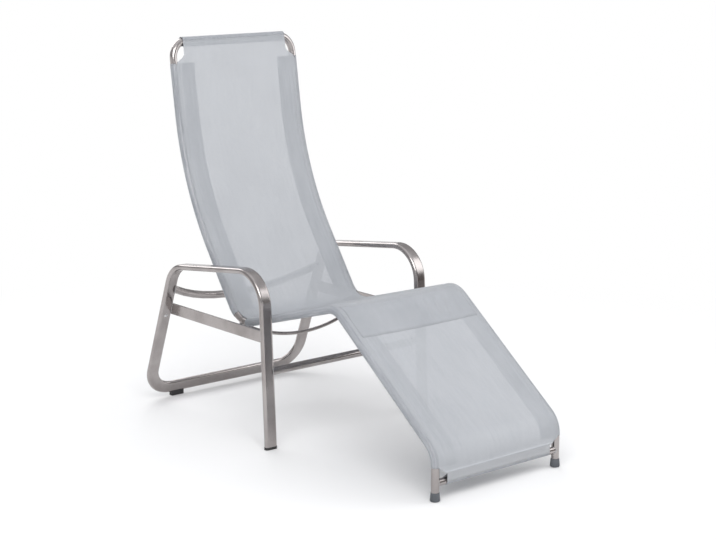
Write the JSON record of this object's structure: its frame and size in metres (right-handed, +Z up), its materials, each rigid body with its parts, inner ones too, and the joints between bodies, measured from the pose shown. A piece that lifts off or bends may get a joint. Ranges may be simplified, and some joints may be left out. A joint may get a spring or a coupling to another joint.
{
  "type": "tilting sun lounger",
  "caption": "Sun lounger whose bent-tube seat frame with a stretched mesh sling tilts back between the arm loops of a flat-oval tube base.",
  "frame": {"origin": "on the floor, at the middle of the lounger's outline seen from above", "axes": "+Z up, +Y towards the head end, -Y towards the foot end, X across; the seat frame is in its forward position"},
  "size_m": [0.707, 1.466, 1.2877],
  "materials": {
    "satin_aluminium": "satin anodised, faint brushed grain along the tubes",
    "mesh_sling": "light silver-grey coated mesh, slightly see-through",
    "black_plastic": "matte moulded black plastic",
    "dark_rubber": "matte dark grey rubber",
    "steel_fasteners": "bright stainless steel"
  },
  "bodies": {
    "base": {"left_loop": "satin_aluminium", "right_loop": "satin_aluminium", "floor_bar_sleeve": "satin_aluminium", "front_crossbar": "satin_aluminium", "stop_bar": "satin_aluminium", "left_side_bar": "satin_aluminium", "right_side_bar": "satin_aluminium", "left_leg_screw": "steel_fasteners", "right_leg_screw": "steel_fasteners", "left_front_cap": "black_plastic", "right_front_cap": "black_plastic", "left_rear_glide": "black_plastic", "right_rear_glide": "black_plastic", "left_pivot_bush": "black_plastic", "right_pivot_bush": "black_plastic"},
    "seat": {"left_rail": "satin_aluminium", "right_rail": "satin_aluminium", "top_tube": "satin_aluminium", "foot_crossbar": "satin_aluminium", "bowed_rod": "satin_aluminium", "left_pivot_lug": "satin_aluminium", "right_pivot_lug": "satin_aluminium", "left_pivot_pin": "steel_fasteners", "right_pivot_pin": "steel_fasteners", "left_pivot_spacer": "steel_fasteners", "right_pivot_spacer": "steel_fasteners", "left_rubber_tip": "dark_rubber", "right_rubber_tip": "dark_rubber", "sling_panel": "mesh_sling", "top_hem": "mesh_sling", "foot_hem": "mesh_sling", "knee_band": "mesh_sling", "left_back_pocket": "mesh_sling", "right_back_pocket": "mesh_sling", "left_seat_pocket": "mesh_sling", "right_seat_pocket": "mesh_sling"}
  },
  "joints": [
    {"name": "seat_tilt", "type": "hinge", "parent": "base", "child": "seat", "pos_m": [0, 0.24387, 0.354], "axis": [-1, 0, 0], "range_deg": [0, 39]}
  ]
}
